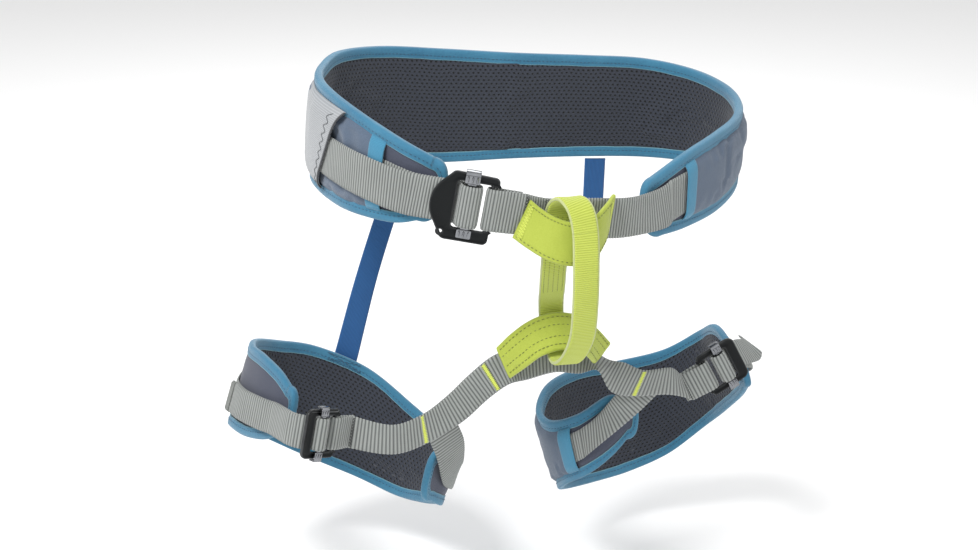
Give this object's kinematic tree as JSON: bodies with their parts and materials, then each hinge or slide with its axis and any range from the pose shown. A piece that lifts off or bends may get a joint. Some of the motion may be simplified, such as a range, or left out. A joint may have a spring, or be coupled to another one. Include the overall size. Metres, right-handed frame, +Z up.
{
  "type": "climbing harness",
  "caption": "Padded sport climbing harness with waist belt, leg loops, metal strap adjusters, tie-in points, a sewn belay loop and elastic rear risers.",
  "frame": {"origin": "middle of the waist opening, halfway up the waist belt", "axes": "+X from the viewer's left to right when the harness is seen from its front, +Y towards the wearer's back, +Z up through the waist opening"},
  "size_m": [0.4282, 0.2912, 0.3771],
  "materials": {
    "mesh_liner": "matte",
    "foam": "matte",
    "cover_fabric": "matte",
    "binding_tape": "matte",
    "elastic_sleeve": "matte",
    "webbing": "matte",
    "adjuster_black": "satin",
    "slider_chrome": "polished",
    "tie_in_tape": "matte",
    "belay_webbing": "matte",
    "riser_elastic": "matte"
  },
  "bodies": {
    "waist": {"waist_liner": "mesh_liner", "waist_foam": "foam", "waist_backing": "cover_fabric", "waist_shell": "cover_fabric", "waist_binding": "binding_tape", "waist_slot_tape_left": "binding_tape", "waist_slot_tape_right": "binding_tape", "tail_sleeve": "elastic_sleeve", "waist_webbing": "webbing", "waist_webbing_tail": "webbing", "upper_tie_in_loop": "tie_in_tape", "left_riser": "riser_elastic", "right_riser": "riser_elastic"},
    "waist_adjuster": {"waist_buckle_frame": "adjuster_black"},
    "waist_slider_bar": {"waist_buckle_slider": "slider_chrome", "waist_webbing_turn": "webbing"},
    "belay": {"belay_loop": "belay_webbing"},
    "left_adjuster": {"left_leg_buckle_frame": "adjuster_black"},
    "left_slider_bar": {"left_leg_buckle_slider": "slider_chrome", "left_leg_webbing_turn": "webbing"},
    "right_adjuster": {"right_leg_buckle_frame": "adjuster_black"},
    "right_slider_bar": {"right_leg_buckle_slider": "slider_chrome", "right_leg_webbing_turn": "webbing"},
    "legs": {"leg_bridge": "webbing", "lower_tie_in_loop": "tie_in_tape", "left_leg_liner": "mesh_liner", "left_leg_foam": "foam", "left_leg_backing": "cover_fabric", "left_leg_shell": "cover_fabric", "left_leg_binding": "binding_tape", "left_leg_slot_tape_outer": "binding_tape", "left_leg_slot_tape_inner": "binding_tape", "left_leg_webbing": "webbing", "left_leg_webbing_tail": "webbing", "right_leg_liner": "mesh_liner", "right_leg_foam": "foam", "right_leg_backing": "cover_fabric", "right_leg_shell": "cover_fabric", "right_leg_binding": "binding_tape", "right_leg_slot_tape_outer": "binding_tape", "right_leg_slot_tape_inner": "binding_tape", "right_leg_webbing": "webbing", "right_leg_webbing_tail": "webbing"}
  },
  "joints": [
    {"name": "legs_swing", "type": "hinge", "parent": "waist", "child": "legs", "pos_m": [0.005, -0.15, -0.025], "axis": [1, 0, 0], "range_deg": [-8, 8], "deforming": ["left_riser", "right_riser"]},
    {"name": "belay_swing", "type": "hinge", "parent": "waist", "child": "belay", "pos_m": [0.005, -0.15, -0.025], "axis": [1, 0, 0], "range_deg": [-8, 8]},
    {"name": "waist_adjuster_tilt", "type": "hinge", "parent": "waist", "child": "waist_adjuster", "pos_m": [-0.05426, -0.12717, -0.00208], "axis": [0.1549, -0.1042, 0.9824], "range_deg": [0, 30]},
    {"name": "waist_slider_slide", "type": "slide", "parent": "waist_adjuster", "child": "waist_slider_bar", "axis": [0.9633, -0.2048, -0.1736], "range_m": [0, 0.0018]},
    {"name": "left_adjuster_tilt", "type": "hinge", "parent": "legs", "child": "left_adjuster", "pos_m": [-0.16629, -0.08697, -0.182], "axis": [0.2094, 0.1521, 0.9659], "range_deg": [0, 30]},
    {"name": "left_slider_slide", "type": "slide", "parent": "left_adjuster", "child": "left_slider_bar", "axis": [0.7815, 0.5678, -0.2588], "range_m": [0, 0.0018]},
    {"name": "right_adjuster_tilt", "type": "hinge", "parent": "legs", "child": "right_adjuster", "pos_m": [0.13608, -0.0652, -0.167], "axis": [0.4683, 0.0327, -0.8829], "range_deg": [0, 30]},
    {"name": "right_slider_slide", "type": "slide", "parent": "right_adjuster", "child": "right_slider_bar", "axis": [-0.8808, -0.0616, -0.4695], "range_m": [0, 0.0018]}
  ],
  "couplings": [
    {"joint": "belay_swing", "follows": "legs_swing", "ratio": 1}
  ]
}
